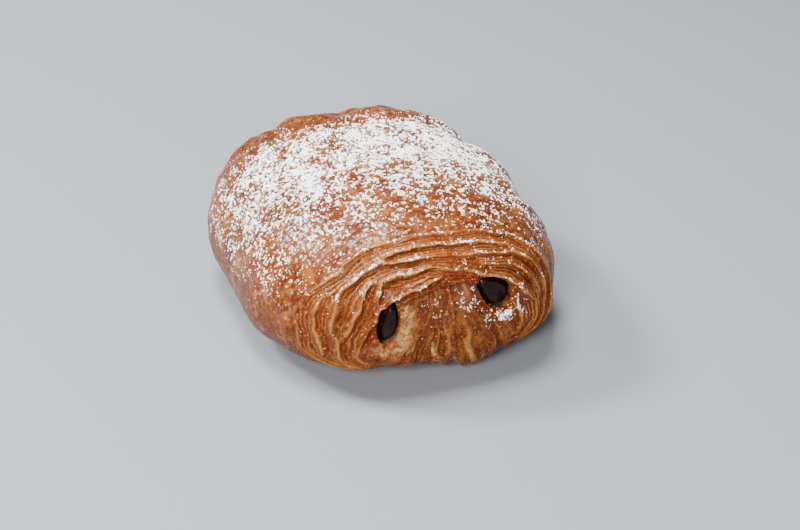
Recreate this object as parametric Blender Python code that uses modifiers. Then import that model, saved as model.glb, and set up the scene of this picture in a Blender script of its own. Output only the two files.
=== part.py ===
"""A chocolate croissant (pain au chocolat): one baked roll of laminated dough, with two chocolate
batons lying in tunnels that run through it from end to end.

Metres, +Z up. The roll's axis runs along Y, and the front end faces -Y. The origin is the middle
of the flat base.
"""

import math

import bmesh
import bpy
import numpy as np
from mathutils import Matrix, Vector, noise

# Driving dimensions of the roll
WIDTH = 0.092
LENGTH = 0.108
HEIGHT = 0.0485
FRONT_SHARE = 0.495  # of the length, from the waist to the front end

# Section of the roll, seen along its axis
BELLY = 0.34 * HEIGHT  # height at which the roll is widest
END_CENTRE = 0.42 * HEIGHT  # height of the middle of each end
TOP_SQUARENESS = 2.25  # superellipse exponents: 2 is an ellipse, higher is squarer
FOOT_SQUARENESS = 2.7
FOOT_DEPTH = 1.12 * BELLY  # how far the round underside would reach below the belly
FRONT_SQUARENESS = (2.9, 0.35)  # of the roll's long outline: the middle, and the right side's excess
BACK_SQUARENESS = (2.75, -0.25)

# How the roll swelled unevenly in the oven
BACK_RISE = 0.05  # share by which the back's left shoulder is higher
BACK_DRIFT = 0.002  # how far the back end leans to the left
SWELLINGS = (
    # (x, y, z) of the middle, height (a hollow where it is negative), radius
    ((0.010, -0.048, 0.004), 0.0024, 0.009),  # foot of the front end
    ((-0.014, -0.045, 0.004), -0.0010, 0.012),
    ((0.027, 0.027, 0.041), 0.0024, 0.009),  # right shoulder, towards the back
    ((0.039, 0.007, 0.035), 0.0028, 0.007),  # right shoulder, by the waist
    ((0.040, -0.012, 0.033), -0.0016, 0.007),
    ((0.041, -0.038, 0.018), -0.0014, 0.014),
    ((0.015, 0.036, 0.043), 0.0016, 0.012),  # top, towards the back
    ((-0.018, 0.042, 0.041), -0.0008, 0.016),
    ((-0.044, -0.014, 0.009), 0.0007, 0.014),  # left flank, low down
)
LUMP_HEIGHT = 0.0005
LUMP_SPACING = 0.024

# Stepped edges of the dough layers, which show at both ends. Stations along the roll are numbers
# from 0 at the waist to 1 at the middle of an end.
LAYERS = 7
FIRST_STATION = 0.44
LAST_STATION = 0.80
LAYER_RELIEF = 0.0008
LAYER_STEPS = (-1.0, 0.35, 1.0)  # groove, tread and nose of one layer, as shares of the relief
LAYER_WAVES = ((2, 0.6, 0.010), (5, 2.1, 0.006))  # waves per turn, phase, size in stations

# Mesh: rings round the axis, counted from the middle of the front end
SEGMENTS = 64
RINGS_PER_LAYER = 3
RINGS_IN_CORE = 8
RINGS_ROUND_WAIST = 14

# Tunnels and batons. Both are oval, and a baton lies at the low end of its tunnel's section.
OVAL_SIDES = 28
CUTTER_LENGTH = 0.130
BATON_LENGTH = 0.095
BATON_SHARE = 0.78  # of its tunnel's width and height
BATON_GAP = 0.0004  # between a baton and the tunnel's floor
BATON_ROUNDING = 0.0010
TUNNELS = {
    # side: (x, z, half width, half height, lean to the right in degrees)
    "left": (-0.0168, 0.0243, 0.0029, 0.0062, 11),
    "right": (0.0144, 0.0272, 0.0037, 0.0056, -50),
}


def clear_scene():
    for item in list(bpy.data.objects):
        bpy.data.objects.remove(item, do_unlink=True)


def new_collection(name):
    collection = bpy.data.collections.new(name)
    bpy.context.scene.collection.children.link(collection)
    return collection


def new_material(name, colour, roughness):
    material = bpy.data.materials.new(name)
    material.use_nodes = True
    shader = material.node_tree.nodes["Principled BSDF"]
    shader.inputs["Base Color"].default_value = (*colour, 1)
    shader.inputs["Roughness"].default_value = roughness
    shader.inputs["Metallic"].default_value = 0
    return material


def new_object(name, bm, collection, material=None):
    """Ends a bmesh as an object of that name."""
    mesh = bpy.data.meshes.new(name)
    bm.to_mesh(mesh)
    bm.free()
    item = bpy.data.objects.new(name, mesh)
    collection.objects.link(item)
    if material:
        mesh.materials.append(material)
    return item


def signed_power(value, exponent):
    return math.copysign(abs(value) ** exponent, value)


def ring_stations():
    """The station of every ring, from the front end's middle (1) to the back end's middle (-1)."""
    layer_rings = LAYERS * RINGS_PER_LAYER
    steps = [0, RINGS_IN_CORE, layer_rings, RINGS_ROUND_WAIST, layer_rings, RINGS_IN_CORE]
    counts = np.cumsum(steps)
    marks = [1, LAST_STATION, FIRST_STATION, -FIRST_STATION, -LAST_STATION, -1]
    return np.interp(np.arange(counts[-1] + 1), counts, marks).tolist()


def loaf_point(turn, station):
    """The smooth roll's surface. turn goes round the axis, from +X over the top, and station from
    the front end's middle (1) past the waist (0) to the back end's middle (-1)."""
    side, rise = math.cos(turn), math.sin(turn)
    middle, excess = FRONT_SQUARENESS if station > 0 else BACK_SQUARENESS
    power = 2 / (middle + excess * side)
    quarter = station * math.pi / 2
    ring = abs(math.cos(quarter)) ** power  # the ring's size, 1 at the waist
    length = LENGTH * (FRONT_SHARE if station > 0 else 1 - FRONT_SHARE)
    y = -length * signed_power(math.sin(quarter), power)

    section = 2 / (TOP_SQUARENESS if rise > 0 else FOOT_SQUARENESS)
    half_height = HEIGHT - BELLY if rise > 0 else FOOT_DEPTH
    x = WIDTH / 2 * signed_power(side, section) * ring
    z = BELLY + half_height * signed_power(rise, section)
    z = END_CENTRE + (z - END_CENTRE) * ring

    back = max(0, y / length)
    z *= 1 + BACK_RISE * back * (1 - 2 * x / WIDTH) * z / HEIGHT
    return Vector((x - BACK_DRIFT * back, y, z))


def layer_wave(turn):
    """How far the edges of the layers wander along the roll, in stations."""
    return sum(size * math.sin(count * turn + phase) for count, phase, size in LAYER_WAVES)


def layer_relief(ring):
    """Height of the stepped layer edges at a ring."""
    last = RINGS_IN_CORE + LAYERS * RINGS_PER_LAYER
    from_end = min(ring, 2 * last + RINGS_ROUND_WAIST - ring)
    if not RINGS_IN_CORE <= from_end <= last:
        return 0.0
    return LAYER_STEPS[(from_end - RINGS_IN_CORE) % RINGS_PER_LAYER] * LAYER_RELIEF


def swelling(point):
    """How far the roll stands out of its smooth shape at a point."""
    height = LUMP_HEIGHT * noise.noise(point / LUMP_SPACING)
    for middle, rise, radius in SWELLINGS:
        height += rise * math.exp(-(((point - Vector(middle)).length / radius) ** 2))
    return height


def roll_bmesh():
    """A sphere with its poles at the roll's two ends, drawn out to the roll's shape."""
    stations = ring_stations()
    rings = len(stations) - 1
    bm = bmesh.new()
    bmesh.ops.create_uvsphere(bm, u_segments=SEGMENTS, v_segments=rings, radius=1)
    ring_of = {}
    for vertex in bm.verts:
        ring = round(vertex.co.angle(Vector((0, 0, 1))) / math.pi * rings)
        turn = math.atan2(vertex.co.y, vertex.co.x)
        station = stations[ring]
        if 0 < ring < rings:
            station += math.copysign(layer_wave(turn), station) * (1 - abs(station))
        ring_of[vertex] = ring
        vertex.co = loaf_point(turn, station)
    bm.normal_update()
    raised = {
        vertex: vertex.co + vertex.normal * (layer_relief(ring_of[vertex]) + swelling(vertex.co))
        for vertex in bm.verts
    }
    for vertex, place in raised.items():
        vertex.co = place
    return bm


def cut_base(bm):
    """Cuts the roll off at z = 0, where it rested on the baking tray, and closes it there."""
    everything = bm.verts[:] + bm.edges[:] + bm.faces[:]
    cut = bmesh.ops.bisect_plane(
        bm, geom=everything, plane_co=(0, 0, 0), plane_no=(0, 0, -1), clear_outer=True
    )
    rim = [item for item in cut["geom_cut"] if isinstance(item, bmesh.types.BMEdge)]
    for edge in rim:
        for vertex in edge.verts:
            vertex.co.z = 0.0
    bmesh.ops.contextual_create(bm, geom=rim)


def centre_on_origin(bm):
    """Moves the roll so that the middle of its box stands over the origin, and returns the move."""
    xs = [vertex.co.x for vertex in bm.verts]
    ys = [vertex.co.y for vertex in bm.verts]
    move = Vector((-(min(xs) + max(xs)) / 2, -(min(ys) + max(ys)) / 2, 0))
    bmesh.ops.translate(bm, verts=bm.verts, vec=move)
    return move


def make_pastry(collection, material):
    bm = roll_bmesh()
    cut_base(bm)
    move = centre_on_origin(bm)
    bmesh.ops.recalc_face_normals(bm, faces=bm.faces)
    pastry = new_object("pastry", bm, collection, material)
    pastry.data.shade_smooth()
    return pastry, move


def oval_bar(name, length, half_width, half_height, collection, material=None):
    """A bar along Y with an oval section."""
    bm = bmesh.new()
    bmesh.ops.create_cone(
        bm, cap_ends=True, segments=OVAL_SIDES, radius1=1, radius2=1, depth=length
    )
    bmesh.ops.scale(bm, vec=(half_width, half_height, 1), verts=bm.verts)
    bmesh.ops.rotate(bm, matrix=Matrix.Rotation(math.pi / 2, 3, "X"), verts=bm.verts)
    return new_object(name, bm, collection, material)


def make_tunnel(side, move, cutters):
    """The cutter of one tunnel, longer than the roll."""
    x, z, half_width, half_height, lean = TUNNELS[side]
    cutter = oval_bar("tunnel_" + side, CUTTER_LENGTH, half_width, half_height, cutters)
    cutter.location = Vector((x + move.x, move.y, z))
    cutter.rotation_euler.y = math.radians(lean)
    cutter.hide_render = True
    cutter.display_type = "WIRE"
    return cutter


def make_baton(side, move, collection, material):
    """A chocolate baton, in the low end of its tunnel, with air above it."""
    x, z, half_width, half_height, lean = TUNNELS[side]
    name = "chocolate_baton_" + side
    width, height = half_width * BATON_SHARE, half_height * BATON_SHARE
    baton = oval_bar(name, BATON_LENGTH, width, height, collection, material)
    drop = half_height - height - BATON_GAP
    turn = Matrix.Rotation(math.radians(lean), 3, "Y")
    baton.location = Vector((x + move.x, 0, z)) + turn @ Vector((0, 0, -drop))
    baton.rotation_euler.y = math.radians(lean)
    bevel = baton.modifiers.new("rounded_ends", "BEVEL")
    bevel.width = BATON_ROUNDING
    bevel.segments = 3
    bevel.limit_method = "ANGLE"
    bevel.angle_limit = math.radians(60)
    baton.data.shade_smooth()
    return baton


def main():
    clear_scene()
    parts = new_collection("chocolate_croissant")
    cutters = new_collection("cutters")
    crust = new_material("baked_crust", (0.50, 0.21, 0.055), 0.42)
    chocolate = new_material("dark_chocolate", (0.030, 0.014, 0.010), 0.35)
    pastry, move = make_pastry(parts, crust)
    for side in TUNNELS:
        cut = pastry.modifiers.new("tunnel_" + side, "BOOLEAN")
        cut.operation = "DIFFERENCE"
        cut.object = make_tunnel(side, move, cutters)
        make_baton(side, move, parts, chocolate)


main()
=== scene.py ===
# %% [markdown]
# # A chocolate croissant, dusted with icing sugar
# A pain au chocolat is a rectangle of laminated dough rolled round two chocolate batons. The
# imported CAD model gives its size, its place and where the two tunnels for the chocolate run. This
# lesson builds the same roll again, fine enough to show the layers, and then bakes and dusts it.

# %% Load the frame
import math
from itertools import product

import bmesh
import bpy
import numpy as np
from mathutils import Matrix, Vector, kdtree


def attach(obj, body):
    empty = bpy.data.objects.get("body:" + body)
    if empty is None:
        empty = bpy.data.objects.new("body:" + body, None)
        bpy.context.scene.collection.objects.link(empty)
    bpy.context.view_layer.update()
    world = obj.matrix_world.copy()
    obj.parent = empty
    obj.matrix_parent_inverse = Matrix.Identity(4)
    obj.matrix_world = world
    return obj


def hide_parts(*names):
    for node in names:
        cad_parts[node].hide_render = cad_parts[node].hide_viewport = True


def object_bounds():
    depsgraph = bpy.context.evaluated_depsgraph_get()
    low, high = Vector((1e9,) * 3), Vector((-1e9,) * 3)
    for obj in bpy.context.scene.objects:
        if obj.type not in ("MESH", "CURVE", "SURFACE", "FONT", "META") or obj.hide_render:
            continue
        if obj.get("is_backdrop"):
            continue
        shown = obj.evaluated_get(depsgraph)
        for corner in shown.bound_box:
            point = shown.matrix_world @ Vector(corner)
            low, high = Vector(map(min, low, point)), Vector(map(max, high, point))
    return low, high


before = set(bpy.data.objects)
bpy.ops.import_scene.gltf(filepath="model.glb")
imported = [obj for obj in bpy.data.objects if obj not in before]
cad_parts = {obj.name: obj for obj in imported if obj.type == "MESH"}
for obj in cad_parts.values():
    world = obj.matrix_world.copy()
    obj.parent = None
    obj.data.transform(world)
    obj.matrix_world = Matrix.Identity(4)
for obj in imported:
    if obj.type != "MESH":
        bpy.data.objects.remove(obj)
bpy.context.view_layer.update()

MM = 0.001

# %% [markdown]
# ## Camera, light and floor
# The roll stands on a plain pale floor. The camera looks down on its front end from the left with
# a long lens, which keeps the roll's sides nearly parallel. Window light comes from behind on the
# left, so the ridges of the dough catch it on their upper edges and the right side falls into
# shade. A lamp in front and one overhead lift the shadows, and area lamps keep their edges soft.

# %% Camera
CAMERA_AT = Vector((-142.5, -383.5, 251.3)) * MM
CAMERA_AIM = Vector((5.05, -4.66, 12.2)) * MM
LENS = 70.34
AIM_AXIS, UP_AXIS = "-Z", "Y"


def aimed(item, place, target):
    """Puts a lamp or a camera at a place and turns it to face the target."""
    item.location = place
    item.rotation_euler = (target - place).to_track_quat(AIM_AXIS, UP_AXIS).to_euler()
    bpy.context.scene.collection.objects.link(item)


camera = bpy.data.objects.new("camera", bpy.data.cameras.new("camera"))
camera.data.lens = LENS
camera.data.clip_start = 0.01
aimed(camera, CAMERA_AT, CAMERA_AIM)
bpy.context.scene.camera = camera

# %% Lamps and sky
LAMP_AIM = Vector((0, 0, 0.02))
SKY_COLOUR, SKY_STRENGTH = (1.0, 0.96, 0.92), 0.19
LAMPS = {
    # name: (place in m, size in m, watts, colour)
    "window": ((-0.60, 0.45, 0.75), 0.24, 22.0, (1.0, 0.98, 0.95)),
    "room": ((-0.48, -0.66, 0.50), 0.30, 18.5, (1.0, 0.98, 0.95)),
    "ceiling": ((-0.10, 0.10, 0.95), 0.34, 19.0, (1.0, 0.99, 0.97)),
}
for name, (place, size, watts, colour) in LAMPS.items():
    lamp = bpy.data.objects.new(name, bpy.data.lights.new(name, "AREA"))
    lamp.data.energy = watts
    lamp.data.size = size
    lamp.data.color = colour
    aimed(lamp, Vector(place), LAMP_AIM)

sky = bpy.data.worlds.new("room_sky")
sky.use_nodes = True
background = sky.node_tree.nodes["Background"]
background.inputs["Color"].default_value = (*SKY_COLOUR, 1)
background.inputs["Strength"].default_value = SKY_STRENGTH
bpy.context.scene.world = sky
print("the camera and", len(LAMPS), "lamps are in place")

# %% Floor
FLOOR_SIDE = 6.0
FLOOR_COLOUR, FLOOR_ROUGHNESS = (0.200, 0.214, 0.236), 0.6


def new_object(name, bm):
    """Ends a bmesh as an object of that name."""
    mesh = bpy.data.meshes.new(name)
    bm.to_mesh(mesh)
    bm.free()
    item = bpy.data.objects.new(name, mesh)
    bpy.context.scene.collection.objects.link(item)
    return item


bm = bmesh.new()
bmesh.ops.create_grid(bm, x_segments=1, y_segments=1, size=FLOOR_SIDE / 2)
floor = new_object("floor", bm)
floor_paint = bpy.data.materials.new("pale_floor")
floor_paint.use_nodes = True
floor_shader = floor_paint.node_tree.nodes["Principled BSDF"]
floor_shader.inputs["Base Color"].default_value = (*FLOOR_COLOUR, 1)
floor_shader.inputs["Roughness"].default_value = FLOOR_ROUGHNESS
floor.data.materials.append(floor_paint)
floor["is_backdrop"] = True
print("the floor is", FLOOR_SIDE, "m wide")

# %% [markdown]
# ## Noise for natural shapes
# Baked dough is never regular, so nearly every shape below is varied by noise: a smooth function
# of place that wanders between about -1 and 1. Blender's own noise takes one point at a time. This
# one takes the whole mesh at once, which is what makes a mesh this fine quick to shape.

# %% Smooth noise
TABLE = 256  # how many slopes the noise draws from, a power of two
DICE = np.random.default_rng(20)
SHUFFLED = DICE.permutation(TABLE)
SLOPES = DICE.normal(size=(TABLE, 3))
SLOPES /= np.linalg.norm(SLOPES, axis=1, keepdims=True)
NOISE_SCALE = 1.7  # stretches the noise to about -1 to 1
SEED_STEP = np.array([31.7, 11.3, 47.9])  # how far each next seed moves the noise


def shuffled(keys):
    return SHUFFLED[keys & (TABLE - 1)]


def noise(points, size, seed=0):
    """Smooth noise at each point, with bumps about that size apart."""
    places = points / size + SEED_STEP * (seed + 1)
    cells = np.floor(places).astype(int)
    inside = places - cells
    blend = inside**3 * (inside * (inside * 6 - 15) + 10)
    total = np.zeros(len(points))
    for corner in product((0, 1), repeat=3):
        keys = cells + corner
        slots = shuffled(shuffled(shuffled(keys[:, 0]) + keys[:, 1]) + keys[:, 2])
        weights = np.where(corner, blend, 1 - blend).prod(axis=1)
        total += weights * (SLOPES[slots] * (inside - corner)).sum(axis=1)
    return total * NOISE_SCALE


def noises(points, parts):
    """The sum of several noises, each given as its height, its size and its seed."""
    return sum(height * noise(points, size, seed) for height, size, seed in parts)


def ramp(values, low, high):
    """0 below low, 1 above high, and a smooth slope between them. low may be the larger."""
    share = np.clip((values - low) / (high - low), 0, 1)
    return share * share * (3 - 2 * share)


def hump(values, middle, width):
    """1 at the middle, falling to 0 on both sides."""
    return np.exp(-(((values - middle) / width) ** 2))


# %% [markdown]
# ## The roll's smooth shape
# The CAD roll is a sphere drawn out along Y into a squarish loaf, with a few broad swellings where
# it rose unevenly. The same formula is used here, so the fine roll fills the same box. Each point
# has a turn, which goes round the roll, and a station, which runs from the middle of the front end
# (1) past the waist (0) to the middle of the back end (-1).

# %% The loaf formula, in millimetres
WIDTH, LENGTH, HEIGHT = 92.0, 108.0, 48.5
FRONT_SHARE = 0.495  # of the length, from the waist to the front end
BELLY = 0.34 * HEIGHT  # height at which the roll is widest
END_CENTRE = 0.42 * HEIGHT  # height of the middle of each end
FOOT_DEPTH = 1.12 * BELLY  # how far the round underside would reach below the belly
TOP_SQUARENESS, FOOT_SQUARENESS = 2.25, 2.7  # of the section: 2 is an ellipse, higher is squarer
FRONT_SQUARENESS = (2.9, 0.35)  # of the long outline: the middle, and the right side's excess
BACK_SQUARENESS = (2.75, -0.25)
BACK_RISE = 0.05  # share by which the back's left shoulder is higher
BACK_DRIFT = 2.0  # how far the back end leans to the left
BOX_MIDDLE_SHIFT = np.array([0.17, -0.62, 0.0])  # from the formula's origin to the part's


def signed_power(values, exponent):
    return np.sign(values) * np.abs(values) ** exponent


def loaf(turn, station):
    """The smooth roll, an (N, 3) array."""
    side, rise = np.cos(turn), np.sin(turn)
    front = station > 0
    middle = np.where(front, FRONT_SQUARENESS[0], BACK_SQUARENESS[0])
    excess = np.where(front, FRONT_SQUARENESS[1], BACK_SQUARENESS[1])
    power = 2 / (middle + excess * side)
    quarter = station * math.pi / 2
    ring = np.abs(np.cos(quarter)) ** power
    length = LENGTH * np.where(front, FRONT_SHARE, 1 - FRONT_SHARE)
    y = -length * signed_power(np.sin(quarter), power)
    section = 2 / np.where(rise > 0, TOP_SQUARENESS, FOOT_SQUARENESS)
    x = WIDTH / 2 * signed_power(side, section) * ring
    z = BELLY + np.where(rise > 0, HEIGHT - BELLY, FOOT_DEPTH) * signed_power(rise, section)
    z = END_CENTRE + (z - END_CENTRE) * ring
    back = np.clip(y / length, 0, 1)
    z = z * (1 + BACK_RISE * back * (1 - 2 * x / WIDTH) * z / HEIGHT)
    return np.stack([x - BACK_DRIFT * back, y, z], axis=1)


# %% Swellings
LUMP_HEIGHT, LUMP_SPACING = 0.5, 24
SWELLINGS = (
    # middle, height, radius
    ((10, -48, 4), 2.4, 9),
    ((-14, -45, 4), -1.0, 12),
    ((27, 27, 41), 2.4, 9),
    ((39, 7, 35), 2.8, 7),
    ((40, -12, 33), -1.6, 7),
    ((41, -38, 18), -1.4, 14),
    ((15, 36, 43), 1.6, 12),
    ((-18, 42, 41), -0.8, 16),
    ((-44, -14, 9), 0.7, 14),
)


def swelling(points):
    """How far the roll stands out of its smooth shape at each point."""
    height = LUMP_HEIGHT * noise(points, LUMP_SPACING)
    for middle, rise, radius in SWELLINGS:
        gap = np.linalg.norm(points - np.array(middle, float), axis=1)
        height += rise * np.exp(-((gap / radius) ** 2))
    return height


def unit(vectors):
    return vectors / np.maximum(np.linalg.norm(vectors, axis=1, keepdims=True), 1e-9)


# %% [markdown]
# ## A mesh with its rings where the layers are
# The mesh starts as a sphere whose poles become the middles of the two ends. Its rings are crowded
# into the front end, where the layers are only a few tenths of a millimetre apart, and spread out
# over the smooth back. There are also more points over the top than underneath.

# %% The sphere and its grid
SEGMENTS = 292
RING_PLAN = (
    # rings, and the station they run to
    (62, 0.80),
    (104, 0.42),
    (74, -0.42),
    (50, -0.80),
    (24, -1.0),
)
RINGS = sum(count for count, _ in RING_PLAN)
TOP_CROWDING = 0.25  # how strongly the points gather over the top

ring_counts = np.cumsum([0] + [count for count, _ in RING_PLAN])
stations = np.interp(np.arange(RINGS + 1), ring_counts, [1.0] + [s for _, s in RING_PLAN])

bm = bmesh.new()
bmesh.ops.create_uvsphere(bm, u_segments=SEGMENTS, v_segments=RINGS, radius=1)
sphere = np.array([vertex.co for vertex in bm.verts])
polar = np.arccos(np.clip(sphere[:, 2], -1, 1))
ring = np.rint(polar / math.pi * RINGS).astype(int)
turn = np.arctan2(sphere[:, 1], sphere[:, 0])
turn = turn + TOP_CROWDING * np.cos(turn)
station = stations[ring]
print("the sphere has", len(sphere), "points in", RINGS, "rings")

# %% Each point's place, its way out of the roll and its way to the nearer end
STEP = 1e-3
READ_FROM, READ_TO = 0.02, 0.97  # the ways are read off between these stations
STATION_SIGN = np.where(station < 0, -1, 1)
smooth = loaf(turn, station)
inner = np.clip(np.abs(station), READ_FROM, READ_TO) * STATION_SIGN
along = loaf(turn, inner + STEP) - loaf(turn, inner - STEP)
around = loaf(turn + STEP, inner) - loaf(turn - STEP, inner)
outward = unit(np.cross(around, along))
outward *= np.sign((outward * (smooth - [0, 0, END_CENTRE])).sum(axis=1))[:, None]
poleward = unit(along) * STATION_SIGN[:, None]
print("height of the smooth roll in mm:", round(smooth[:, 2].max(), 1))

# %% [markdown]
# ## The stepped layers
# The dough was cut at both ends, so the edges of its layers show there as terraces. Each layer
# rises out of a groove to a thin edge, its nose, and drops steeply into the next groove. A sawtooth
# of the station gives that. Noise bends it, so that the layers wander, join and part, and a finer
# sawtooth inside it gives each layer its own thin leaves.

# %% Where the layers run
LAYERS = 4
LAYER_PITCH = 4.6  # mm from nose to nose, about
LAST_STATION = 0.80  # where the last layer ends
FIRST_STATION = (
    # turn in degrees, and the station where the first layer starts there
    (-90, 30, 60, 90, 130, 172, 200, 270),
    (0.50, 0.50, 0.48, 0.465, 0.445, 0.42, 0.43, 0.50),
)
FORKS = (
    # a layer that exists only between two turns: from, to, and how far down the steps it lies
    (55, 112, 1.15),
    (128, 176, 2.25),
    (10, 70, 2.75),
    (92, 140, 3.25),
    (150, 196, 0.95),
)
DEGREE_LENGTH = 0.60  # mm along the surface for each degree of turn
LAYER_BENDS = ((0.34, 21, 1), (0.24, 9, 2), (0.09, 4, 24), (0.055, 1.7, 31))  # height in layers

depth = np.abs(station)
is_front = station > 0
SIDE_SIGN = np.where(is_front, 1.0, -1.0)
front_x, front_z = smooth[:, 0], smooth[:, 2]
degrees = (np.degrees(turn) + 90) % 360 - 90
own_degrees = np.where(is_front, degrees, 180 - degrees)  # the back end is the front turned round
own_degrees = (own_degrees + 90) % 360 - 90
first = np.interp(own_degrees, *FIRST_STATION)
phase = (depth - first) / (LAST_STATION - first) * LAYERS
phase += noises(smooth, LAYER_BENDS)
forked = phase.copy()
for fork_from, fork_to, fork_phase in FORKS:
    rise = (phase - fork_phase) * LAYER_PITCH
    for end, sign in ((fork_from, 1), (fork_to, -1)):
        forked += sign * np.arctan2(rise, (own_degrees - end) * DEGREE_LENGTH) / (2 * math.pi)
share = forked - np.floor(forked)
print("layer phase runs from", round(phase.min(), 1), "to", round(phase.max(), 1))

# %% Layer heights
NOSE, LEAF_NOSE = 0.68, 0.78  # where in a layer or a leaf its highest line is
LEAVES = 4  # thin leaves in each layer
LEAF_BENDS = ((0.45, 9, 4), (0.16, 3.5, 26))  # height in leaves
RISE_POWER, FALL_POWER = 0.8, 1.4  # below 1 the slope bulges, above 1 it is hollow
SMALLEST_LAYER, LARGEST_LAYER = 0.22, 1.35
SMALLEST_LEAF, LARGEST_LEAF = 0.08, 1.2


def sawtooth(share, nose):
    """-1 in the groove, a rise to a sharp edge of 1 at the nose, and a steep drop."""
    rise = np.clip(share / nose, 0, 1) ** RISE_POWER
    fall = np.cos(np.clip((share - nose) / (1 - nose), 0, 1) * math.pi / 2) ** FALL_POWER
    return 2 * np.where(share < nose, rise, fall) - 1


soft_start = hump(own_degrees, 92, 34) * ramp(phase, 0.95, 0.35)  # the first layer, over the top
layer_size = np.clip(0.80 + 0.85 * noise(smooth, 13, 3), SMALLEST_LAYER, LARGEST_LAYER)
layer_size *= 1 - 0.65 * soft_start
leaf_phase = forked * LEAVES + noises(smooth, LEAF_BENDS)
leaf_share = leaf_phase - np.floor(leaf_phase)
leaf_size = np.clip(0.62 + 0.9 * noise(smooth, 6, 5), SMALLEST_LEAF, LARGEST_LEAF)
print("layers are", round(layer_size.min(), 2), "to", round(layer_size.max(), 2), "of their height")

# %% [markdown]
# ## The tongue between the holes
# Below and between the two holes, the end of the dough is squeezed into a tongue with folds that
# fan out downwards, like a closed fan held by its top. The folds are noise stretched along lines
# through one point above the tongue. Pale clefts split its foot, the middle one deepest.

# %% Where the tongue is
FAN_POINT = np.array([-1.0, 50.0])  # x and z
FAN_BENDS = ((0.030, 9, 32), (0.012, 4, 33))
fan_x = (front_x - FAN_POINT[0] * SIDE_SIGN) * SIDE_SIGN
fan_z = FAN_POINT[1] - front_z
fan_angle = np.arctan2(fan_x, fan_z) + noises(smooth, FAN_BENDS)
fan_reach = np.hypot(fan_x, fan_z)

# the core is what lies inside the last layer, and below it the tongue widens into the foot
core = ramp(phase, LAYERS - 0.15, LAYERS + 0.35)
below = ramp(front_z, 17.0, 11.0) * ramp(np.abs(front_x * SIDE_SIGN - 1.5), 25.0, 17.5)
below *= ramp(depth, 0.46, 0.56)
tongue = np.clip(core + below, 0, 1)
layered = ramp(phase, -0.25, 0.2) * (1 - core) * (1 - below)
print("points on layers:", int((layered > 0.5).sum()), "and tongue:", int((tongue > 0.5).sum()))

# %% Folds of the tongue
FAN_WIDTH, FAN_STRETCH = 34, 0.11  # mm of noise for each radian across, and for each mm down
END_GAP = 9  # mm of noise that keep the two ends' folds different
FOLDS = ((0.62, 2.8, 6), (0.58, 1.2, 7))
fan_places = np.stack([fan_angle * FAN_WIDTH, fan_reach * FAN_STRETCH, SIDE_SIGN * END_GAP], axis=1)
folds = noises(fan_places, FOLDS)
folds += 0.7 * (0.45 - np.abs(noise(fan_places, 2.2, 27)))  # sharp creases between round folds
fold_size = 0.40 + 0.65 * ramp(front_z, 27, 8)

# %% Clefts of the tongue
CLEFTS = (
    # angle in the fan at the foot, lean, highest z, half width in the fan, depth in mm
    (0.030, 0.0085, 18.5, 0.015, 1.3),
    (0.215, 0.0020, 15.0, 0.010, 0.8),
    (0.345, 0.0010, 10.0, 0.011, 0.7),
    (0.125, 0.0040, 13.0, 0.007, 0.6),
    (-0.200, 0.0030, 12.0, 0.008, 0.5),
)
cleft = np.zeros(len(smooth))
cleft_depth = np.zeros(len(smooth))
for angle, lean, top, width, size in CLEFTS:
    line_angle = angle - lean * front_z + 0.010 * noise(fan_places * [0, 1, 1], 1.1, 8)
    broader = width * (1 + 0.8 * ramp(front_z, 9, 2))
    line = hump(fan_angle, line_angle, broader) * ramp(front_z, top, top - 5)
    cleft = np.maximum(cleft, line * min(1, 1.2 * size))
    cleft_depth += line * size
print("deepest cleft in mm:", round(cleft_depth.max(), 1))

# %% [markdown]
# ## Where the chocolate shows
# The two tunnels are within a millimetre of the CAD ones. Round each mouth the dough rolls inwards
# in a soft lip. The distance from a tunnel is counted in its own radius, so 1 is the rim.

# %% Distance from each tunnel
TUNNELS = {
    # side: (x, z, half width, half height, lean to the right in degrees)
    "left": (-16.3, 23.6, 3.0, 6.2, 12),
    "right": (14.7, 27.2, 4.1, 5.8, -38),
}


def oval_place(side, x, z):
    """x and z measured along a tunnel's own narrow and wide axes, in its radii."""
    middle_x, middle_z, half_width, half_height, lean = TUNNELS[side]
    cosine, sine = math.cos(math.radians(lean)), math.sin(math.radians(lean))
    across = (x - middle_x) * cosine - (z - middle_z) * sine
    up = (x - middle_x) * sine + (z - middle_z) * cosine
    return across / half_width, up / half_height


rim_gap = {}
for side in TUNNELS:
    across, up = oval_place(side, front_x, front_z)
    rim_gap[side] = np.hypot(across, up)
nearest_rim = np.minimum(*rim_gap.values())
near_hole = (1 - ramp(nearest_rim, 1.0, 1.5)) * ramp(depth, 0.6, 0.72)
print("points at the mouths:", int((near_hole > 0.5).sum()))

# %% [markdown]
# ## Skin of the crust
# Away from the cut ends the crust is one shiny skin. It has broad blisters, wrinkles that run round
# the roll where the dough was stretched, and thin flakes that have lifted, whose torn edges stand
# up by a few tenths of a millimetre.

# %% Blisters, wrinkles and flakes
BLISTERS = ((0.30, 13, 9), (0.18, 5.5, 10), (0.09, 2.4, 30))
WRINKLE_DEPTH = 0.55
WRINKLE_STRETCH = (0.30, 1.25, 0.30)
FLAKE_STRETCH = (1.0, 0.75, 0.7)
FLAKE_LIFT = 0.22
skin = 1 - np.clip(layered + tongue, 0, 1)
blisters = noises(smooth, BLISTERS)
crease = 1 - np.abs(noise(smooth * WRINKLE_STRETCH, 4.2, 11))
wrinkle_zone = ramp(depth, 0.05, 0.36) * (0.35 + 0.65 * ramp(front_x, 5, 38))
wrinkles = -WRINKLE_DEPTH * ramp(crease, 0.80, 1.0) * wrinkle_zone
flake_noise = noise(smooth * FLAKE_STRETCH, 8.5, 12) + 0.35 * noise(smooth, 2.6, 13)
flakes = ramp(flake_noise, 0.10, 0.17)
flake_edge = hump(flake_noise, 0.15, 0.05)
flake_zone = 0.35 + 0.65 * ramp(front_z, 38, 22)
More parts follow.
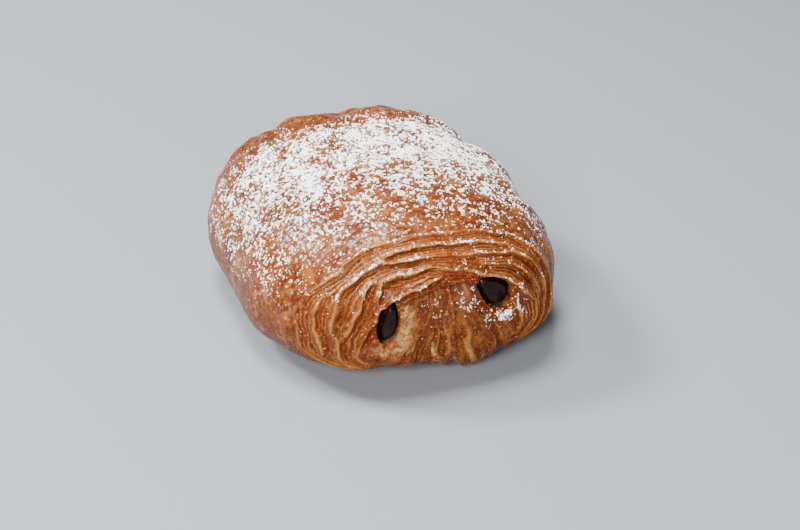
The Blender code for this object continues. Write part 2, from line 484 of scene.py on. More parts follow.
print("share of the skin that has lifted:", round(flakes.mean(), 2))

# %% [markdown]
# ## Adding it up
# Every effect is a height straight out of the smooth roll, in millimetres. The noses of the layers
# also lean towards the end of the roll, so that they overhang their grooves.

# %% Heights in millimetres
LAYER_RELIEF, LEAF_RELIEF = 0.70, 0.29
CORE_SINK = 1.3  # how far the top of the core is set back
END_SWELL, FINE_BUMPS = 0.22, 0.05
BACK_KNOBS, SIDE_KNOBS = 2.1, 1.3  # over the back's edge, and on the right side
LIP_ROLL = 0.9  # how far a mouth's lip is turned in
relief = layered * layer_size * LAYER_RELIEF * sawtooth(share, NOSE)
relief += layered * leaf_size * LEAF_RELIEF * sawtooth(leaf_share, LEAF_NOSE)
relief += tongue * (folds * fold_size - cleft_depth)
relief -= CORE_SINK * core * ramp(front_z, 17, 30)
relief += skin * (blisters + wrinkles + FLAKE_LIFT * flakes * flake_zone)
relief += (layered + tongue) * END_SWELL * noise(smooth, 6, 14)
relief += FINE_BUMPS * noise(smooth, 1.6, 15)
back_edge = hump(station, -0.46, 0.15) * ramp(front_z, 18, 32)
relief += BACK_KNOBS * noise(smooth, 8.0, 29) * back_edge
right_side = ramp(front_x, 22, 36) * ramp(front_z, 10, 22) * skin
relief += SIDE_KNOBS * noise(smooth, 9.0, 36) * right_side
relief -= LIP_ROLL * near_hole**2
print("relief in mm:", round(relief.min(), 1), "to", round(relief.max(), 1))

# %% Move the points
NOSE_LEAN = 0.55  # mm towards the end
SCALLOPS = ((0.55, 7, 16), (0.25, 2.8, 17))
FOOT_TOP = 5.0  # the scalloped foot reaches up to here
LEVEL = (1, 1, 0)
raised = smooth + outward * (relief + swelling(smooth))[:, None]
lean = layered * layer_size * NOSE_LEAN * hump(share, NOSE, 0.22)
raised += poleward * lean[:, None]

scallop = ramp(raised[:, 2], FOOT_TOP, 0.0) * noises(raised * LEVEL, SCALLOPS)
raised[:, :2] += unit(outward * LEVEL)[:, :2] * scallop[:, None]
raised += BOX_MIDDLE_SHIFT
for vertex, place in zip(bm.verts, raised * MM):
    vertex.co = place
print("the shaped roll is", round(np.ptp(raised[:, 0]), 1), "mm wide")

# %% [markdown]
# ## What the bake needs to know
# The colours depend on the shape: grooves, the step under the lip and the mouths get painted shade
# in red brown, noses, leaves and the crests of the tongue's folds get painted highlights in gold,
# flake edges and the foot rim stay pale, the inside of the dough is cream. Each of these is worked
# out from the same numbers and kept for every point as an attribute, which the material reads later.

# %% Grooves and the painted shade in them
# strengths of the painted shade under the lip, left of the left hole and round the mouths
UNDER_LIP_SHADE, LEFT_LIP_SHADE, MOUTH_SHADE = 0.9, 0.85, 0.75  # how deep a groove's colour is there
left_across, left_up = oval_place("left", front_x, front_z)
# painted shade on the step under the lip above the tongue
shade_under_lip = ramp(phase, LAYERS - 0.70, LAYERS - 0.45) * ramp(phase, LAYERS + 0.45, LAYERS + 0.15)
shade_under_lip *= ramp(front_z, 19, 26)
# painted shade on the rim left of the left hole, where the lip turns in
left_lip_shade = hump(left_across, -1.8, 0.8) * ramp(np.abs(left_up), 1.7, 1.1) * ramp(depth, 0.6, 0.7)

# painted shade: the grooves between layers and between leaves are coloured red brown
shaded_groove = layered * np.clip(ramp(share, 0.60, 0.28) + ramp(share, 0.72, 0.84), 0, 1)
shaded_groove *= np.clip(0.85 + 0.9 * noise(smooth, 9, 25), 0.2, 1)
leaf_groove_shade = layered * leaf_size * 0.55 * ramp(leaf_share, LEAF_NOSE, 0.95)
for other in (leaf_groove_shade, MOUTH_SHADE * near_hole, UNDER_LIP_SHADE * shade_under_lip, LEFT_LIP_SHADE * left_lip_shade):
    shaded_groove = np.maximum(shaded_groove, other)
# painted shade in the troughs of the tongue's folds
fold_shade = 0.35 * tongue * ramp(folds, -0.05, -0.50)
print("mean of the grooves:", round(shaded_groove.mean(), 2))

# %% Edges and painted highlights
# painted highlights: gold lines along the noses of the layers and the edges of the leaves, fewer
# where the lips are in painted shade
nose_highlight_line = layered * hump(share, NOSE - 0.03, 0.08) * np.clip(0.65 + noise(smooth, 6, 18), 0, 1)
leaf_highlight_line = layered * hump(leaf_share, 0.72, 0.13) * np.clip(leaf_size, 0, 1) * 0.75
highlight_loss = 1 - 0.8 * np.maximum(shade_under_lip, left_lip_shade)
# painted highlight on the crests of the tongue's folds
fold_highlight = tongue * ramp(folds, 0.30, 0.80) * 0.60
foot_rim = ramp(raised[:, 2], 3.4, 0.9) * np.clip(0.55 + 0.8 * noise(smooth, 5, 35), 0, 1)
flake_line = 0.8 * skin * flake_edge * flake_zone
edge = (nose_highlight_line + leaf_highlight_line) * highlight_loss + fold_highlight + foot_rim + flake_line
print("mean of the edges:", round(edge.mean(), 2))

# %% Crumb that shows beside and below the left hole, and in the clefts
beside_left = 0.75 * is_front * hump(left_across, 1.4, 0.7) * ramp(left_up, -1.5, -1.0)
beside_left *= ramp(left_up, 1.1, 0.7)
below_left = is_front * hump(left_across, 0.4, 1.1) * hump(left_up, -1.35, 0.24)
crumb_patch = (beside_left + below_left) * ramp(rim_gap["left"], 0.9, 1.02)
crumb_patch *= np.clip(0.75 + 0.8 * noise(smooth, 3.2, 34), 0.15, 1)
print("mean of the crumb patch:", round(crumb_patch.mean(), 3))

# %% Dust of sugar
DUST_ALONG = (
    # station, and the share of the thickest dust there
    (-1.0, -0.60, -0.45, -0.36, -0.28, -0.22, -0.16, -0.02, 0.06, 0.14, 0.28, 0.38, 0.44, 0.60, 1.0),
    (0.01, 0.02, 0.03, 0.05, 0.13, 0.35, 0.74, 0.82, 0.66, 0.54, 0.45, 0.33, 0.24, 0.20, 0.10),
)
DUST_ROUND = (
    # turn in degrees, and the share of the thickest dust there
    (-90, 0, 15, 30, 45, 60, 120, 150, 165, 180, 195, 270),
    (0, 0, 0.08, 0.24, 0.64, 0.94, 1, 0.74, 0.38, 0.08, 0, 0),
)
dust = np.interp(station, *DUST_ALONG) * np.interp(degrees, *DUST_ROUND)
MOST_DUST = 1.4
dust *= np.clip(1 + 0.45 * noise(smooth, 9, 19), 0.3, MOST_DUST)
below_right_hole = hump(front_x, 18.0, 5.0) * hump(front_z, 20.8, 2.6) * is_front
right_of_right_hole = hump(front_x, 21.5, 2.4) * hump(front_z, 24.0, 3.4) * is_front
dust += 1.3 * np.maximum(below_right_hole, right_of_right_hole)
upper_tongue = hump(front_z, 26.5, 3.0) * hump(front_x, 4.0, 8.5) * is_front * (depth > 0.8)
dust += 0.13 * upper_tongue + 0.03 * tongue * ramp(front_z, 8, 20)
dust *= 1 - 0.75 * shaded_groove
dust += 0.42 * nose_highlight_line * ramp(front_z, 22, 36) * is_front

# %% The facts together
POINT_FACTS = {
    "shaded_groove": np.clip(shaded_groove + 0.7 * fold_shade, 0, 1),
    "edge": np.clip(edge, 0, 1),
    "crumb": np.clip(crumb_patch + cleft * tongue, 0, 1),
    "open": np.clip(layered + tongue, 0, 1),
    "dust": np.clip(dust, 0, MOST_DUST),
}
for name, values in POINT_FACTS.items():
    print(f"{name:8s} mean {values.mean():.2f}")

# %% The grain of the dough: how far across the layers or folds, and a slow way along them
GRAIN_STRETCH = 5.0
TONGUE_OFFSET = (0, 0, 50)  # keeps the tongue's streaks apart from the layers'
first_y = np.abs(loaf(turn, first * SIDE_SIGN)[:, 1])
on_steps = ramp(phase, -0.6, 0.0)
across_layers = on_steps * (phase * LAYER_PITCH + first_y) + (1 - on_steps) * np.abs(smooth[:, 1])
layer_grain = np.stack(
    [across_layers * SIDE_SIGN, np.cos(turn) * GRAIN_STRETCH, np.sin(turn) * GRAIN_STRETCH], axis=1
)
in_tongue = (tongue > 0.5)[:, None]
GRAIN = np.where(in_tongue, fan_places + TONGUE_OFFSET, layer_grain)
print("points whose grain follows the tongue:", int(in_tongue.sum()))

# %% [markdown]
# ## The flat base
# The roll was baked on a tray, so it is cut off flat at the floor and closed with one face.

# %% Cut the base
facts_layer = {name: bm.verts.layers.float.new(name) for name in POINT_FACTS}
for name, layer_key in facts_layer.items():
    for vertex, value in zip(bm.verts, POINT_FACTS[name]):
        vertex[layer_key] = float(value)
grain_layer = bm.verts.layers.float_vector.new("grain")
for vertex, value in zip(bm.verts, GRAIN):
    vertex[grain_layer] = Vector(value)
cut = bmesh.ops.bisect_plane(
    bm,
    geom=bm.verts[:] + bm.edges[:] + bm.faces[:],
    plane_co=(0, 0, 0),
    plane_no=(0, 0, -1),
    clear_outer=True,
)
rim = [item for item in cut["geom_cut"] if isinstance(item, bmesh.types.BMEdge)]
bmesh.ops.contextual_create(bm, geom=rim)
bmesh.ops.recalc_face_normals(bm, faces=bm.faces)
roll = new_object("pastry_crust", bm)
roll_mesh = roll.data
print("the roll has", len(roll_mesh.polygons), "faces")

# %% [markdown]
# ## The tunnels
# Each tunnel is cut by a tube that runs right through, like the CAD one. The tube's section is an
# oval, drawn out to a point on the side where the dough layers part, and it is uneven along its
# length, as dough is round melted chocolate. The tube is made from a cone with straight sides.

# %% Tunnel cutters
TUBE_SIDES, TUBE_LENGTH, TUBE_RINGS = 64, 126.0, 70
POINTED = {"left": (90, 0.05), "right": (104, 0.26)}  # direction of the point in degrees, its reach
POINT_WIDTH = 0.42  # in radians
THREE_SIDED = 0.05  # how far the oval is from even, as a share of its radius
TUBE_LUMPS = ((0.7, 5.5, 20), (0.3, 1.9, 21))


def tube(name, side, grow, length, rings, rough):
    """A bar along Y with a tunnel's section, made larger by grow and lumpy by rough, in mm."""
    middle_x, middle_z, half_width, half_height, lean = TUNNELS[side]
    bm = bmesh.new()
    bmesh.ops.create_cone(
        bm, cap_ends=True, segments=TUBE_SIDES, radius1=1, radius2=1, depth=length
    )
    sides = [edge for edge in bm.edges if abs(edge.verts[0].co.z - edge.verts[1].co.z) > 1]
    bmesh.ops.subdivide_edges(bm, edges=sides, cuts=rings)
    round_places = np.array([vertex.co for vertex in bm.verts])
    angle = np.arctan2(round_places[:, 1], round_places[:, 0])
    point_at, reach = POINTED[side]
    gap = np.angle(np.exp(1j * (angle - math.radians(point_at))))
    radius = 1 + reach * hump(gap, 0, POINT_WIDTH) + THREE_SIDED * np.cos(3 * angle + 1.0)
    across = (half_width + grow) * radius * np.cos(angle)
    up = (half_height + grow) * radius * np.sin(angle)
    cosine, sine = math.cos(math.radians(lean)), math.sin(math.radians(lean))
    places = np.stack(
        [
            middle_x + across * cosine + up * sine,
            -round_places[:, 2],
            middle_z - across * sine + up * cosine,
        ],
        axis=1,
    )
    centre = np.array([middle_x, 0, middle_z])
    wobble = rough * noises(places, TUBE_LUMPS)
    places += unit((places - centre) * [1, 0, 1]) * wobble[:, None]
    for vertex, place in zip(bm.verts, (places + BOX_MIDDLE_SHIFT) * MM):
        vertex.co = place
    bmesh.ops.recalc_face_normals(bm, faces=bm.faces)
    return new_object(name, bm)


# %% Bore the tunnels
TUNNEL_ROUGHNESS = 0.35


def applied(item):
    """The item's mesh with its modifiers applied."""
    graph = bpy.context.evaluated_depsgraph_get()
    return bpy.data.meshes.new_from_object(item.evaluated_get(graph), depsgraph=graph)


old_places = np.array([vertex.co for vertex in roll_mesh.vertices])
old_facts = {
    name: np.array([item.value for item in roll_mesh.attributes[name].data])
    for name in POINT_FACTS
}
old_grain = np.array([item.vector for item in roll_mesh.attributes["grain"].data])
for side in TUNNELS:
    cutter = tube("cutter_" + side, side, 0.0, TUBE_LENGTH, TUBE_RINGS, TUNNEL_ROUGHNESS)
    bore = roll.modifiers.new("tunnel_" + side, "BOOLEAN")
    bore.operation = "DIFFERENCE"
    bore.solver = "EXACT"
    bore.object = cutter
bored_mesh = applied(roll)
roll.modifiers.clear()
roll.data = bored_mesh
for side in TUNNELS:
    bpy.data.objects.remove(bpy.data.objects["cutter_" + side])
print("after boring:", len(bored_mesh.polygons), "faces")

# %% [markdown]
# The cut makes new points on the tunnel walls. Every point takes the facts of the nearest point of
# the roll before the cut, and those deeper than the skin are crumb, the inside of the dough, which
# the material paints nearly black: partly a stain of the chocolate melted onto it, partly painted
# shade deep in the tunnels.

# %% Facts for the new points
SKIN_DEPTHS = (0.25, 1.3)  # mm from the skin, where the inside starts and where it is full
WALL_CRUMB = 0.55


def keep_fact(mesh, name, values, kind="FLOAT"):
    """Writes one value for each point of the mesh as an attribute."""
    if name in mesh.attributes:
        mesh.attributes.remove(mesh.attributes[name])
    field = "vector" if kind == "FLOAT_VECTOR" else "value"
    data = mesh.attributes.new(name, kind, "POINT").data
    data.foreach_set(field, values.astype(np.float32).ravel())


tree = kdtree.KDTree(len(old_places))
for index, place in enumerate(old_places):
    tree.insert(place, index)
tree.balance()
found = [tree.find(vertex.co) for vertex in bored_mesh.vertices]
nearest = np.array([index for _, index, _ in found])
away = np.array([gap for _, _, gap in found]) / MM
inside_depth = ramp(away, *SKIN_DEPTHS)
for name, values in old_facts.items():
    new = values[nearest]
    if name == "crumb":
        new = np.maximum(new * (1 - inside_depth), WALL_CRUMB * inside_depth)
    elif name != "open":
        new = new * (1 - inside_depth)
    keep_fact(bored_mesh, name, new)
keep_fact(bored_mesh, "grain", old_grain[nearest], "FLOAT_VECTOR")
keep_fact(bored_mesh, "inside", inside_depth)
bored_mesh.shade_smooth()
print("points inside the tunnels:", int((inside_depth > 0.5).sum()))

# %% [markdown]
# ## The chocolate
# The batons melted in the oven and set again, so they are glossy, uneven bars that lie in the low
# side of each tunnel. They use the tunnel's own section, made smaller, and stay clear of its walls.

# %% Chocolate bars
BARS = {
    # side: (shrink in mm, front end y, back end y, shift across, shift up)
    "left": (-0.42, -50.6, 49.0, 0.05, -0.10),
    "right": (-0.45, -50.6, 49.0, 0.08, -0.08),
}
BAR_RINGS, BAR_ROUGHNESS = 60, 0.16
NARROWING, NARROW_LENGTH = 0.30, 2.5  # at each end: the share lost, and over how many mm
ROUNDING, ROUNDING_SEGMENTS = 0.9, 4
SHARP_EDGE = math.radians(50)
bars = {}
for side, (shrink, front_end, back_end, shift_x, shift_z) in BARS.items():
    length = back_end - front_end
    bar = tube("chocolate_" + side, side, shrink, length, BAR_RINGS, BAR_ROUGHNESS)
    places = np.array([vertex.co for vertex in bar.data.vertices]) / MM
    middle_y = (front_end + back_end) / 2
    places[:, 1] += middle_y
    centre = np.array([TUNNELS[side][0], 0, TUNNELS[side][1]]) + BOX_MIDDLE_SHIFT
    from_end = length / 2 - np.abs(places[:, 1] - middle_y - BOX_MIDDLE_SHIFT[1])
    narrow = 1 - NARROWING * ramp(from_end, NARROW_LENGTH, 0.0) ** 2
    places[:, [0, 2]] = centre[[0, 2]] + (places[:, [0, 2]] - centre[[0, 2]]) * narrow[:, None]
    places += [shift_x, 0, shift_z]
    bar.data.vertices.foreach_set("co", (places * MM).ravel())
    bars[side] = bar
    rounding = bar.modifiers.new("rounded", "BEVEL")
    rounding.width = ROUNDING * MM
    rounding.segments = ROUNDING_SEGMENTS
    rounding.limit_method = "ANGLE"
    rounding.angle_limit = SHARP_EDGE
    bar.data = applied(bar)
    bar.modifiers.clear()
    bar.data.shade_smooth()
    print(bar.name, "has", len(bar.data.polygons), "faces")

# %% [markdown]
# ## Icing sugar
# Icing sugar was sieved over the top. It lies in small clumps, thick over the middle and the back
# and thin on the steps at the front. Each clump is a tiny ball with a few faces. The Array modifier
# repeats it, and then every copy is turned, squashed and set down on the crust. Where a clump may
# land is a matter of chance, weighted by the dust attribute and by a fine noise that gathers the
# clumps into flecks. The exact Boolean can hand back the crust's faces in another order each time,
# so single clumps may land elsewhere, while the dusting as a whole stays the same.

# %% The triangles of the crust, and how much sugar each one holds
LIE = (-0.25, 0.35)  # Z of the way a surface faces, where no powder stays and where all of it does
bored_mesh.calc_loop_triangles()
triangle_count = len(bored_mesh.loop_triangles)
corners = np.zeros(triangle_count * 3, np.int32)
bored_mesh.loop_triangles.foreach_get("vertices", corners)
corners = corners.reshape(-1, 3)
places = np.zeros(len(bored_mesh.vertices) * 3)
bored_mesh.vertices.foreach_get("co", places)
places = places.reshape(-1, 3) / MM
dust_now = np.zeros(len(bored_mesh.vertices))
bored_mesh.attributes["dust"].data.foreach_get("value", dust_now)
a, b, c = (places[corners[:, i]] for i in range(3))
cross = np.cross(b - a, c - a)
area = np.linalg.norm(cross, axis=1) / 2
facing = unit(cross)
weight = area * dust_now[corners].mean(axis=1) * ramp(facing[:, 2], *LIE)
print("triangles of the crust:", triangle_count)

# %% Choose where the grains land
GRAINS = 56000
CANDIDATES = 560000
FLECKS = ((1.0, 0.78, 22), (0.65, 1.6, 28), (0.35, 4.5, 23))  # flecks, clumps and patches
SCATTER = 0.10
COVER = 0.46  # share of the crust that flecks take where the dust is thickest
picked = DICE.choice(triangle_count, CANDIDATES, p=weight / weight.sum())
mix = DICE.random((CANDIDATES, 2))
mix = np.where(mix.sum(axis=1, keepdims=True) > 1, 1 - mix, mix)
spots = a[picked] + (b - a)[picked] * mix[:, :1] + (c - a)[picked] * mix[:, 1:]
spot_dust = dust_now[corners[picked]].mean(axis=1)
fleck = noises(spots, FLECKS) + DICE.normal(scale=SCATTER, size=CANDIDATES)
rank = np.argsort(np.argsort(fleck)) / CANDIDATES
landed = np.flatnonzero(rank > 1 - COVER * spot_dust)
kept = landed[:GRAINS]
print("grains of sugar:", len(kept), "of", len(landed), "that could land")

# %% Shape the grains
GRAIN_RADIUS = (0.07, 0.22)
SPREAD = (1.6, 2.2)  # of the radius between its two limits
THICK_DUST = (0.8, 0.5)  # share of the radius on bare crust, and what the dust adds to it
GRAIN_SHAPE = ((0.8, 1.3), (0.8, 1.1), (0.7, 1.1))  # stretch along each axis of a grain
LUMPINESS = (0.72, 1.28)
STAND = 0.25  # how far a grain's middle stands above the crust, in its radii
bm = bmesh.new()
bmesh.ops.create_icosphere(bm, subdivisions=1, radius=1)
grain_mesh = bpy.data.meshes.new("grain")
bm.to_mesh(grain_mesh)
bm.free()
grain_points = len(grain_mesh.vertices)


def turned(axes_out, spin):
    """A turn for each grain that stands its Z axis along axes_out."""
    helper = np.where(np.abs(axes_out[:, 2:]) < 0.9, [[0, 0, 1.0]], [[1.0, 0, 0]])
    right = unit(np.cross(helper, axes_out))
    ahead = np.cross(axes_out, right)
    cosine, sine = np.cos(spin)[:, None], np.sin(spin)[:, None]
    return np.stack([right * cosine + ahead * sine, ahead * cosine - right * sine, axes_out], axis=2)


def sugar_piece(name, grains):
    """One object that holds these grains."""
    count = len(grains)
    item = bpy.data.objects.new(name, grain_mesh.copy())
    bpy.context.scene.collection.objects.link(item)
    copies = item.modifiers.new("copies", "ARRAY")
    copies.count = count
    copies.use_relative_offset = False
    item.data = applied(item)
    item.modifiers.clear()
    shape = np.zeros(count * grain_points * 3)
    item.data.vertices.foreach_get("co", shape)
    shape = shape.reshape(count, grain_points, 3)
    shape *= DICE.uniform(*LUMPINESS, (count, grain_points, 1))
    smallest, largest = GRAIN_RADIUS
    radius = smallest + (largest - smallest) * DICE.beta(*SPREAD, count)
    radius *= THICK_DUST[0] + THICK_DUST[1] * spot_dust[grains]
    stretch = np.stack([DICE.uniform(*limits, count) for limits in GRAIN_SHAPE], axis=1)
    scale = radius[:, None] * stretch
    turns = turned(facing[picked[grains]], DICE.uniform(0, 2 * math.pi, count))
    shape = np.einsum("nij,nkj->nki", turns, shape * scale[:, None, :])
    centres = spots[grains] + facing[picked[grains]] * (radius * STAND)[:, None]
    shape += centres[:, None, :]
    item.data.vertices.foreach_set("co", (shape * MM).ravel())
    item.data.shade_smooth()
    return item


# %% Set the grains down, from the front to the back
GRAINS_PER_PIECE = 9500
kept = kept[np.argsort(spots[kept][:, 1])]
chunks = np.array_split(kept, math.ceil(len(kept) / GRAINS_PER_PIECE))
sugar = [sugar_piece(f"icing_sugar_{number}", chunk) for number, chunk in enumerate(chunks, 1)]
bpy.data.meshes.remove(grain_mesh)
print("sugar pieces:", len(sugar))

# %% [markdown]
# ## Materials from nodes
# A material here is a chain of small steps, each one mixing the colour so far with another by a
# mask. A few helpers keep the chain readable.

# %% Node helpers
RANGE_SOCKETS = ("From Min", "From Max", "To Min", "To Max")


class Paint:
    """A material under construction: its nodes, and short names for the common ones."""

    def __init__(self, name):
        self.material = bpy.data.materials.new(name)
        self.material.use_nodes = True
        self.tree = self.material.node_tree
        self.shader = self.tree.nodes["Principled BSDF"]
        self.place = self.node("ShaderNodeTexCoord").outputs["Object"]

    def node(self, kind, **settings):
        made = self.tree.nodes.new(kind)
        for key, value in settings.items():
            setattr(made, key, value)
        return made

    def feed(self, socket, value):
        if isinstance(value, bpy.types.NodeSocket):
            self.tree.links.new(value, socket)
        else:
            socket.default_value = value

    def noise(self, size, detail=3, stretch=(1, 1, 1), roughness=0.55, distortion=0.0, place=None):
        """Noise between 0 and 1 whose spots are about size apart, in mm. place is an attribute in
        mm to read in place of the point's own coordinates."""
        made = self.node("ShaderNodeTexNoise")
        if place:
            self.feed(made.inputs["Vector"], place)
            made.inputs["Scale"].default_value = 1 / size
        else:
            mapping = self.node("ShaderNodeMapping")
            self.feed(mapping.inputs["Vector"], self.place)
            mapping.inputs["Scale"].default_value = stretch
            self.feed(made.inputs["Vector"], mapping.outputs["Vector"])
            made.inputs["Scale"].default_value = 1 / (size * MM)
        made.inputs["Detail"].default_value = detail
        made.inputs["Roughness"].default_value = roughness
        made.inputs["Distortion"].default_value = distortion
        return made.outputs["Fac"]

    def fact(self, name):
        """The value of a point attribute."""
        return self.node("ShaderNodeAttribute", attribute_name=name).outputs["Fac"]

    def slope(self, value, low, high, to_low=0.0, to_high=1.0):
        """Smoothly maps low..high to to_low..to_high."""
        made = self.node("ShaderNodeMapRange", interpolation_type="SMOOTHSTEP")
        self.feed(made.inputs["Value"], value)
        for socket, number in zip(RANGE_SOCKETS, (low, high, to_low, to_high)):
            self.feed(made.inputs[socket], number)
        return made.outputs["Result"]

    def maths(self, operation, first, second, clamp=False):
        made = self.node("ShaderNodeMath", operation=operation, use_clamp=clamp)
        self.feed(made.inputs[0], first)
        self.feed(made.inputs[1], second)
        return made.outputs["Value"]

    def times(self, first, *others):
        """The product of several values."""
        for other in others:
            first = self.maths("MULTIPLY", first, other)
        return first

    def blend(self, mask, under, over):
        """The colour under, covered by the colour over where the mask is 1."""
        made = self.node("ShaderNodeMix", data_type="RGBA")
        self.feed(made.inputs["Factor"], mask)
        for socket, colour in (("A", under), ("B", over)):
            slot = [s for s in made.inputs if s.name == socket and s.type == "RGBA"][0]
            self.feed(slot, colour if isinstance(colour, bpy.types.NodeSocket) else (*colour, 1))
        return [s for s in made.outputs if s.type == "RGBA"][0]

    def covered(self, colour, *covers):
        """The colour under others, each given as a value, the low and the high end of its slope,
        the most that it covers, and the colour."""
        for value, low, high, most, over in covers:
            colour = self.blend(self.slope(value, low, high, 0, most), colour, over)
        return colour

    def bump(self, height, distance, strength=1.0, under=None):
        """Roughens the surface by a height between 0 and 1, distance mm tall."""
        made = self.node("ShaderNodeBump")
        made.inputs["Strength"].default_value = strength
        made.inputs["Distance"].default_value = distance * MM
        self.feed(made.inputs["Height"], height)
        if under:
            self.feed(made.inputs["Normal"], under)
        return made.outputs["Normal"]

    def shade(self, settings):
        """Sets or feeds the shader's sockets, by name."""
        for name, value in settings.items():
            self.feed(self.shader.inputs[name], value)

    def put_on(self, items):
        """Gives the material to the items, in place of any other."""
        for item in items:
            item.data.materials.clear()
            item.data.materials.append(self.material)


# %% [markdown]
# ## Baked crust
# Egg wash gives the crust its shine and its amber colour, darker where it baked longest. The colours
# are built up one over another: an amber base with honey and chestnut patches and mauve patches of
# painted reflection, red brown painted shade in the grooves, gold painted highlights on the noses,
# gold and pale flecks, the pale ones partly painted glints, painted shade low down, cream where the
# dough's inside shows, tunnel walls nearly black, partly stained and partly painted shade, and a
# veil of the finest sugar that no grain is large enough to stand for. The dried egg wash is a film
# over all this, so it is the shader's coat, with a smoother relief than the crust under it.

# %% Crust colours
AMBER = (0.113, 0.025, 0.006)
HONEY = (0.230, 0.076, 0.016)
CHESTNUT = (0.064, 0.010, 0.002)
RED_BROWN = (0.092, 0.011, 0.003)
GOLD = (0.420, 0.172, 0.044)
MAUVE_REFLECTION = (0.135, 0.045, 0.026)
CREAM = (0.620, 0.400, 0.160)
FLECK_GLINT = (0.760, 0.480, 0.250)
RUST = (0.230, 0.055, 0.020)
STAINED_AND_SHADED = (0.014, 0.005, 0.003)
SUGAR_WHITE = (0.90, 0.90, 0.90)

crust = Paint("baked_crust")
shaded_groove_now, edge_and_highlight_now, crumb_now = crust.fact("shaded_groove"), crust.fact("edge"), crust.fact("crumb")
inside, dust_value, cut_open = crust.fact("inside"), crust.fact("dust"), crust.fact("open")
grain_place = crust.node("ShaderNodeAttribute", attribute_name="grain").outputs["Vector"]
broad = crust.noise(17, 3)
patches = crust.noise(5, 5, (1, 0.7, 0.8), 0.62, 0.6)
mottle = crust.noise(1.3, 4, roughness=0.65)
speckle = crust.noise(0.45, 3, roughness=0.7)
wide_streaks = crust.noise(2.6, 3, roughness=0.55, place=grain_place)
thin_streaks = crust.noise(0.75, 4, roughness=0.62, place=grain_place)
print("the crust mixes", len(POINT_FACTS), "facts with noise of six sizes")

# %% The base, its patches and the streaks along the layers
colour = crust.blend(crust.slope(broad, 0.35, 0.68), AMBER, CHESTNUT)
colour = crust.covered(
    colour,
    (patches, 0.50, 0.64, 0.75, HONEY),
    (patches, 0.47, 0.35, 0.80, CHESTNUT),
    # painted reflection: mauve patches stand for a cool surrounding mirrored in the glossy crust
    (crust.noise(7, 3), 0.57, 0.70, 0.45, MAUVE_REFLECTION),
)
STREAK_COVER = 0.60
on_cut_end = crust.slope(cut_open, 0.0, 1.0, 0.60, 1.0)
for streaks, low, high, darkest, palest in (
    (wide_streaks, 0.49, 0.55, RED_BROWN, HONEY),
    (thin_streaks, 0.48, 0.56, RED_BROWN, GOLD),
):
    dark_share = crust.times(crust.slope(streaks, low, low - 0.17, 0, STREAK_COVER), on_cut_end)
    pale_share = crust.times(crust.slope(streaks, high, high + 0.18, 0, STREAK_COVER), on_cut_end)
    colour = crust.blend(dark_share, colour, darkest)
    colour = crust.blend(pale_share, colour, palest)

# %% Painted shade in the grooves, painted highlights on the edges, and flecks that are partly painted glints
# painted shade: red brown in the grooves, under the lip, round the mouths and in the tongue's folds
colour = crust.blend(crust.times(shaded_groove_now, 0.85), colour, RED_BROWN)
colour = crust.covered(
    colour,
    (mottle, 0.53, 0.66, 0.60, HONEY),
    (mottle, 0.47, 0.34, 0.60, CHESTNUT),
)
# painted highlights in gold along the noses, leaves and fold crests, with the pale foot rim and
# flake edges
colour = crust.blend(crust.times(edge_and_highlight_now, 0.75), colour, GOLD)
colour = crust.covered(
    colour,
    (speckle, 0.58, 0.72, 0.45, GOLD),
    (speckle, 0.42, 0.30, 0.60, CHESTNUT),
    # pale flecks, partly flakes of the crust and partly painted glints
    (crust.noise(0.62, 2), 0.64, 0.73, 0.55, FLECK_GLINT),
)

# painted shade: the skin is darker low down, less on the cut ends and the pale edges
DARK_FROM, DARK_TO, DARKEST = 30 * MM, 8 * MM, 0.40
axes = crust.node("ShaderNodeSeparateXYZ")
crust.feed(axes.inputs["Vector"], crust.place)
height = axes.outputs["Z"]
low_shade = crust.times(
    crust.slope(height, DARK_FROM, DARK_TO, 0.0, DARKEST),
    crust.slope(cut_open, 0.2, 0.9, 1.0, 0.2),
    crust.slope(edge_and_highlight_now, 0.0, 0.8, 1.0, 0.2),
)
colour = crust.blend(low_shade, colour, CHESTNUT)

# %% Crumb, tunnel walls and the veil of sugar
crumb_fibres = crust.noise(1.1, 5, (0.6, 1, 1.1), 0.65)
crumb_colour = crust.blend(crust.slope(crumb_fibres, 0.40, 0.62), HONEY, CREAM)
crumb_colour = crust.blend(crust.slope(crumb_fibres, 0.45, 0.36), crumb_colour, RUST)
colour = crust.blend(crust.times(crumb_now, 0.90), colour, crumb_colour)
# partly a chocolate stain, partly painted shade: the tunnel walls are painted nearly black
colour = crust.blend(crust.times(inside, 0.92), colour, STAINED_AND_SHADED)

fine_powder, coarse_powder = crust.noise(0.50, 4, roughness=0.75), crust.noise(1.8, 2)
powder = crust.maths("ADD", fine_powder, crust.times(coarse_powder, 0.5))
need = crust.slope(dust_value, 0.0, 1.0, 1.02, 0.76)
veil = crust.slope(crust.maths("SUBTRACT", powder, need), -0.02, 0.10)
veil = crust.times(veil, crust.slope(dust_value, 0.02, 0.12, 0.0, 0.55))
colour = crust.blend(veil, colour, SUGAR_WHITE)

# %% Crust gloss and fine relief
gloss = crust.slope(patches, 0.35, 0.70, 0.20, 0.34)
gloss = crust.maths("SUBTRACT", gloss, crust.times(edge_and_highlight_now, 0.08))
gloss = crust.maths("ADD", gloss, crust.slope(speckle, 0.45, 0.75, 0.0, 0.12))
gloss = crust.maths("ADD", gloss, crust.times(crumb_now, 0.25))
gloss = crust.maths("MAXIMUM", gloss, crust.times(veil, 0.9), clamp=True)

fine_relief = crust.bump(mottle, 0.20, 0.9)
fine_relief = crust.bump(wide_streaks, 0.50, 0.9, fine_relief)
fine_relief = crust.bump(thin_streaks, 0.22, 0.9, fine_relief)
fine_relief = crust.bump(veil, 0.10, 0.8, fine_relief)

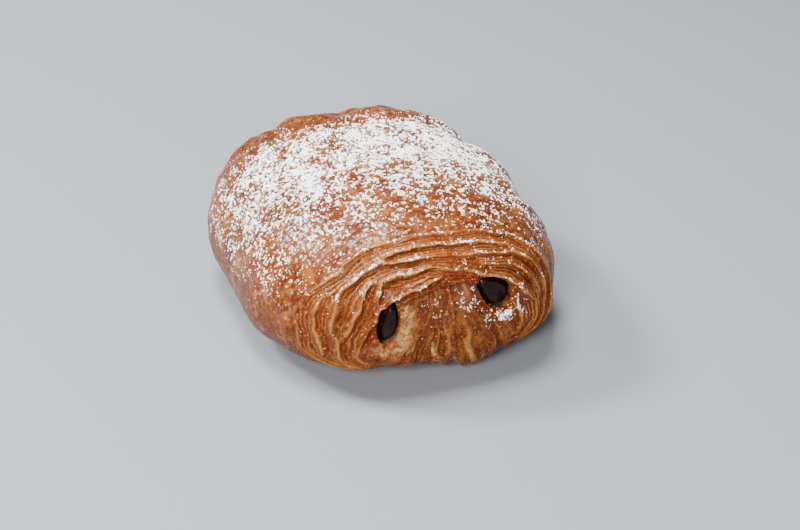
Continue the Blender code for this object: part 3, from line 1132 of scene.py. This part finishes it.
# %% Egg wash: thin low down, in the grooves and under sugar
WASH = 0.4  # how much of the light the egg wash mirrors, as a share of a full clear coat
WASH_FROM, WASH_TO = 14 * MM, 34 * MM
film = crust.times(
    crust.slope(height, WASH_FROM, WASH_TO, 0.0, WASH),
    crust.slope(veil, 0.0, 0.3, 1.0, 0.0),
    crust.slope(shaded_groove_now, 0.0, 0.8, 1.0, 0.3),
)
ripples = crust.bump(crust.noise(1.7, 1), 0.30, 1.0)
ripples = crust.bump(crust.noise(2.0, 1, place=grain_place), 0.40, 1.0, ripples)

# %% The finished crust
crust.shade({
    "Base Color": colour,
    "Roughness": gloss,
    "Normal": fine_relief,
    "Specular IOR Level": 0.12,
    "Specular Tint": (1.0, 0.74, 0.48, 1.0),
    "Coat Weight": film,
    "Coat Normal": ripples,
    "Coat Roughness": 0.12,
    "Coat IOR": 1.45,
    "Subsurface Weight": 0.05,
    "Subsurface Radius": (1.0, 0.45, 0.20),
    "Subsurface Scale": 1.0 * MM,
})
crust.put_on([roll])
print("the crust's material has", len(crust.tree.nodes), "nodes")

# %% [markdown]
# ## Chocolate and sugar
# Chocolate is almost black, with a soft gloss and a bloom of tiny dull specks. Sugar is white and
# quite matt, a little bluer in some grains than in others.

# %% Chocolate material
BLACK_BROWN = (0.004, 0.002, 0.0015)
DARK_BROWN = (0.015, 0.004, 0.002)
BLOOM = (0.02, 0.010, 0.006)
chocolate = Paint("dark_chocolate")
smears = chocolate.noise(2.5, 3, (1, 0.4, 1), 0.6, 0.8)
specks = chocolate.noise(0.5, 3)
brown = chocolate.blend(chocolate.slope(smears, 0.40, 0.66), BLACK_BROWN, DARK_BROWN)
brown = chocolate.covered(brown, (specks, 0.62, 0.74, 0.2, BLOOM))
soft_relief = chocolate.bump(smears, 0.35, 0.6)
chocolate.shade({
    "Base Color": brown,
    "Roughness": chocolate.slope(smears, 0.35, 0.70, 0.22, 0.45),
    "Normal": chocolate.bump(specks, 0.03, 0.4, soft_relief),
    "Specular IOR Level": 0.16,
})
chocolate.put_on(bars.values())
print("the chocolate's material has", len(chocolate.tree.nodes), "nodes")

# %% Sugar material
COOL_WHITE = (0.86, 0.87, 0.90)
WARM_WHITE = (0.97, 0.96, 0.95)
icing = Paint("icing_sugar")
lumps = icing.noise(0.6, 2)
icing.shade({
    "Base Color": icing.blend(icing.slope(lumps, 0.35, 0.65), COOL_WHITE, WARM_WHITE),
    "Roughness": icing.slope(lumps, 0.3, 0.7, 0.75, 0.95),
    "Specular IOR Level": 0.35,
})
icing.put_on(sugar)
print("the sugar's material has", len(icing.tree.nodes), "nodes")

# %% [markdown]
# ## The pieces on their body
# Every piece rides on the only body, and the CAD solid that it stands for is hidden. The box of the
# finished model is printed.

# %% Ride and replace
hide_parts("pastry")
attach(roll, "root")
for side, bar in bars.items():
    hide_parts("chocolate_baton_" + side)
    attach(bar, "root")
for piece in sugar:
    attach(piece, "root")

low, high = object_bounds()
print("visual box in mm:", [round(v / MM, 1) for v in (*low, *high)])
